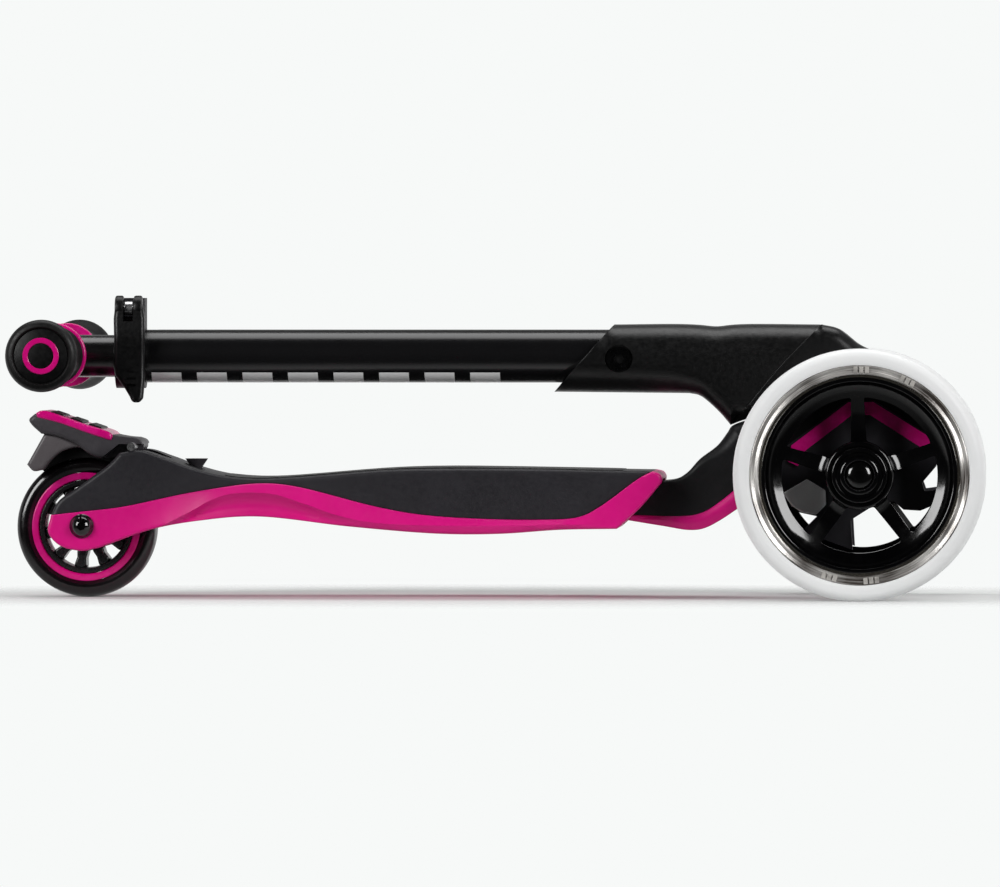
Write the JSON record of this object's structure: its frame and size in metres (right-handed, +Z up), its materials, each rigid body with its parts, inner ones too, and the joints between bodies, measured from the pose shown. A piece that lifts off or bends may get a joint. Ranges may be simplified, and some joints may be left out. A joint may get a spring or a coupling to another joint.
{
  "type": "kick scooter",
  "caption": "Folded lean-to-steer kick scooter for a child: two large clear-tyred front wheels, a small rear wheel with foot brake, extending deck and a stem folded back over it.",
  "frame": {"origin": "on the ground under the middle of the folded length, in the plane of symmetry", "axes": "+X forward, +Z up; the stem lies along X over the deck"},
  "size_m": [0.585, 0.28, 0.182],
  "materials": {
    "black_plastic": "fine satin grain",
    "grey_plastic": "satin",
    "magenta_plastic": "satin",
    "magenta_gloss": "glossy",
    "red_plastic": "glossy",
    "grip_rubber": "matt",
    "gloss_black": "high gloss",
    "black_paint": "glossy black anodised tube",
    "black_metal": "black oxide",
    "cast_alloy": "black powder coat on cast aluminium",
    "steel": "zinc plated",
    "aluminium": "extruded",
    "champagne": "bright",
    "smoke_tyre": "glossy cast polyurethane",
    "clear_tyre": "clear cast polyurethane",
    "light_ring": "clear polycarbonate",
    "led": "moulded LED module"
  },
  "bodies": {
    "deck": {"deck_cover": "black_plastic", "deck_frame": "magenta_plastic", "deck_grip_mat": "grip_rubber", "deck_screws": "steel", "rear_axle": "steel", "rear_axle_nuts": "gloss_black", "rear_axle_spacers": "steel", "fender_hinge_pin": "steel", "brake_spring": "steel"},
    "rear_wheel": {"rear_tyre": "smoke_tyre", "rear_core_ring": "magenta_gloss", "rear_hub": "gloss_black", "rear_bearings": "steel"},
    "fender": {"fender_body": "grey_plastic", "fender_pad": "magenta_gloss", "fender_grips": "grip_rubber", "brake_shoe": "steel"},
    "extension_latch": {"latch_knob": "grey_plastic", "latch_pin": "steel"},
    "neck": {"neck_core": "cast_alloy", "neck_cover": "black_plastic", "neck_frame": "magenta_plastic", "extension_rail": "aluminium", "fold_hinge_bolt": "steel", "kingpin": "steel", "steering_bushings": "grip_rubber"},
    "fold_button": {"fold_button": "red_plastic", "lock_plunger": "steel"},
    "truck": {"truck_housing": "black_plastic", "truck_trim": "magenta_gloss", "front_axle": "steel", "front_axle_screws": "black_metal", "dynamo_magnets": "black_metal"},
    "front_wheel_left": {"front_tyre_left": "clear_tyre", "light_ring_left": "light_ring", "trim_ring_left": "champagne", "front_rim_left": "gloss_black", "led_modules_left": "led", "hub_cap_left": "gloss_black", "front_bearings_left": "steel"},
    "front_wheel_right": {"front_tyre_right": "clear_tyre", "light_ring_right": "light_ring", "trim_ring_right": "champagne", "front_rim_right": "gloss_black", "led_modules_right": "led", "hub_cap_right": "gloss_black", "front_bearings_right": "steel"},
    "column": {"column_shell_left": "black_plastic", "column_shell_right": "black_plastic", "column_head": "black_plastic", "column_bolt": "black_metal", "outer_tube": "black_paint", "tube_bushing": "grey_plastic", "clamp_collar": "black_plastic", "clamp_bolt": "steel"},
    "clamp_lever": {"clamp_lever": "black_plastic"},
    "handlebar": {"t_bar": "black_paint", "grips": "grip_rubber", "grip_collars": "magenta_gloss", "grip_caps": "gloss_black"}
  },
  "joints": [
    {"name": "rear_wheel_spin", "type": "hinge", "parent": "deck", "child": "rear_wheel", "pos_m": [-0.25, 0, 0.0425], "axis": [0, 1, 0], "continuous": true},
    {"name": "brake_press", "type": "hinge", "parent": "deck", "child": "fender", "pos_m": [-0.2204, 0, 0.0911], "axis": [0, -1, 0], "range_deg": [0, 4.5], "stiffness_Nm_per_rad": 2, "springref_deg": -5.73},
    {"name": "latch_pull", "type": "slide", "parent": "deck", "child": "extension_latch", "axis": [0, 0, 1], "range_m": [0, 0.005], "stiffness_N_per_m": 200, "springref_m": -0.002},
    {"name": "deck_extension", "type": "slide", "parent": "deck", "child": "neck", "axis": [1, 0, 0], "range_m": [0, 0.05]},
    {"name": "button_press", "type": "slide", "parent": "neck", "child": "fold_button", "axis": [0.6927, 0, -0.7213], "range_m": [0, 0.003], "stiffness_N_per_m": 600, "springref_m": -0.002},
    {"name": "stem_fold", "type": "hinge", "parent": "neck", "child": "column", "pos_m": [0.198, 0, 0.13], "axis": [0, 1, 0], "range_deg": [0, 75]},
    {"name": "lean_steer", "type": "hinge", "parent": "neck", "child": "truck", "pos_m": [0.2048, 0, 0.0877], "axis": [0.7071, 0, 0.7071], "range_deg": [-15, 15], "stiffness_Nm_per_rad": 60},
    {"name": "front_wheel_left_spin", "type": "hinge", "parent": "truck", "child": "front_wheel_left", "pos_m": [0.2175, 0.085, 0.075], "axis": [0, 1, 0], "continuous": true},
    {"name": "front_wheel_right_spin", "type": "hinge", "parent": "truck", "child": "front_wheel_right", "pos_m": [0.2175, -0.085, 0.075], "axis": [0, 1, 0], "continuous": true},
    {"name": "bar_height", "type": "slide", "parent": "column", "child": "handlebar", "axis": [-1, 0, 0], "range_m": [0, 0.18]},
    {"name": "clamp_open", "type": "hinge", "parent": "column", "child": "clamp_lever", "pos_m": [-0.223, -0.018, 0.174], "axis": [-1, 0, 0], "range_deg": [0, 130]}
  ]
}
